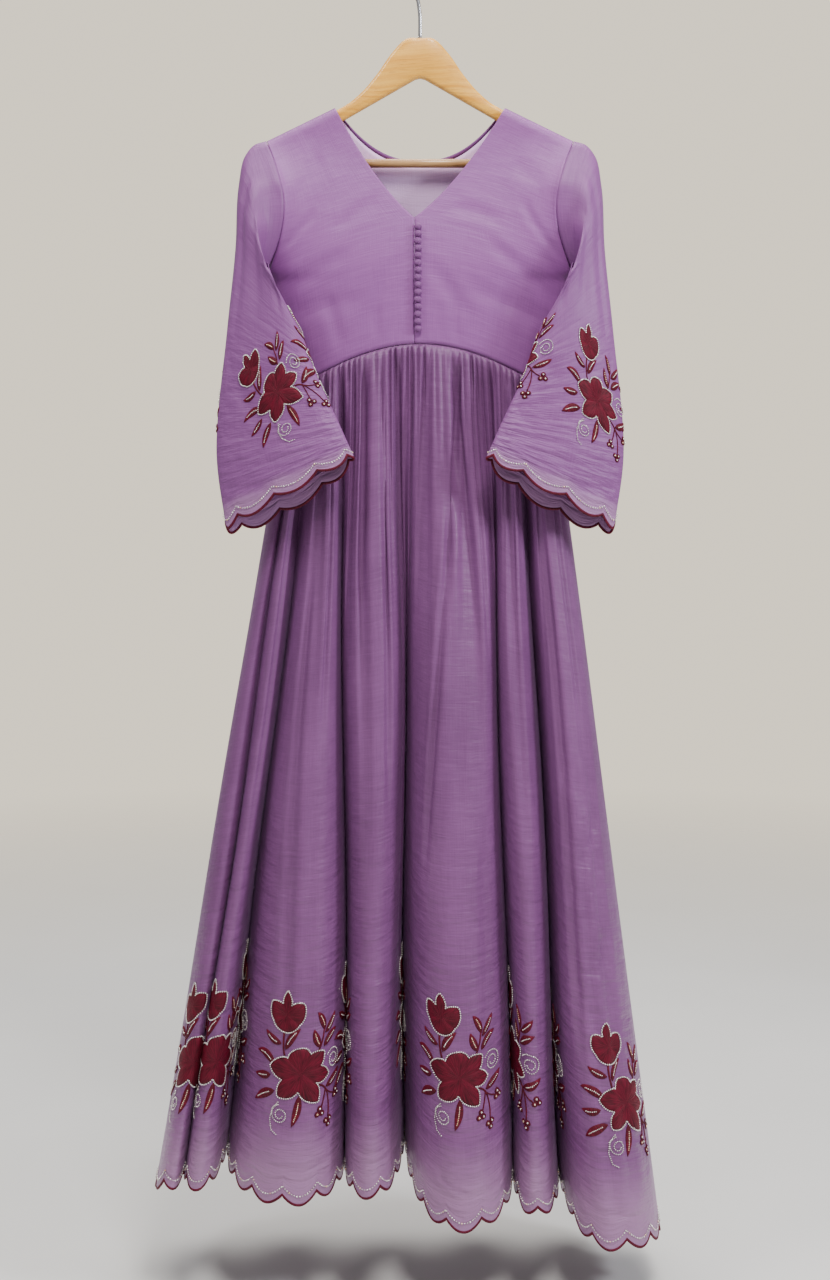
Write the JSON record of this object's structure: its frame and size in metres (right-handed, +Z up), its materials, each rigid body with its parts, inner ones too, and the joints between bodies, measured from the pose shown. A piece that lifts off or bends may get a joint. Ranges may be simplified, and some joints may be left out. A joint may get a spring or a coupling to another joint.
{
  "type": "anarkali gown on a hanger",
  "caption": "Long lilac empire-line anarkali gown with a V neck, bell sleeves and a full gathered skirt with maroon flowers, on a wooden hanger.",
  "frame": {"origin": "inner top of the hanger's hook, where a rail carries it", "axes": "+Z up along the hanging gown, -Y the way the gown's front faces, +X towards the wearer's left"},
  "size_m": [0.611, 0.2804, 1.5387],
  "materials": {
    "bodice_cloth": "lilac silk organza over lining, soft sheen",
    "skirt_cloth": "lilac silk organza over lining, soft sheen, maroon flowers at the hem",
    "lining_cloth": "pale pink-lilac lining, soft sheen",
    "neck_binding_cloth": "lilac bias binding, matte",
    "button_cloth": "cloth-covered, soft sheen",
    "varnished_wood": "clear varnish, satin",
    "polished_steel": "polished"
  },
  "bodies": {
    "root": {"hanger_body": "varnished_wood", "hanger_bar": "varnished_wood", "hanger_hook": "polished_steel", "bodice_front_right": "bodice_cloth", "bodice_front_left": "bodice_cloth", "bodice_back": "bodice_cloth", "bodice_back_lining": "lining_cloth", "back_neck_binding": "neck_binding_cloth", "sleeve_right": "bodice_cloth", "sleeve_left": "bodice_cloth", "skirt_front": "skirt_cloth", "skirt_back": "skirt_cloth", "button_01": "button_cloth", "button_02": "button_cloth", "button_03": "button_cloth", "button_04": "button_cloth", "button_05": "button_cloth", "button_06": "button_cloth", "button_07": "button_cloth", "button_08": "button_cloth", "button_09": "button_cloth", "button_10": "button_cloth", "button_11": "button_cloth", "button_12": "button_cloth", "button_13": "button_cloth", "button_14": "button_cloth", "button_15": "button_cloth"}
  },
  "joints": []
}
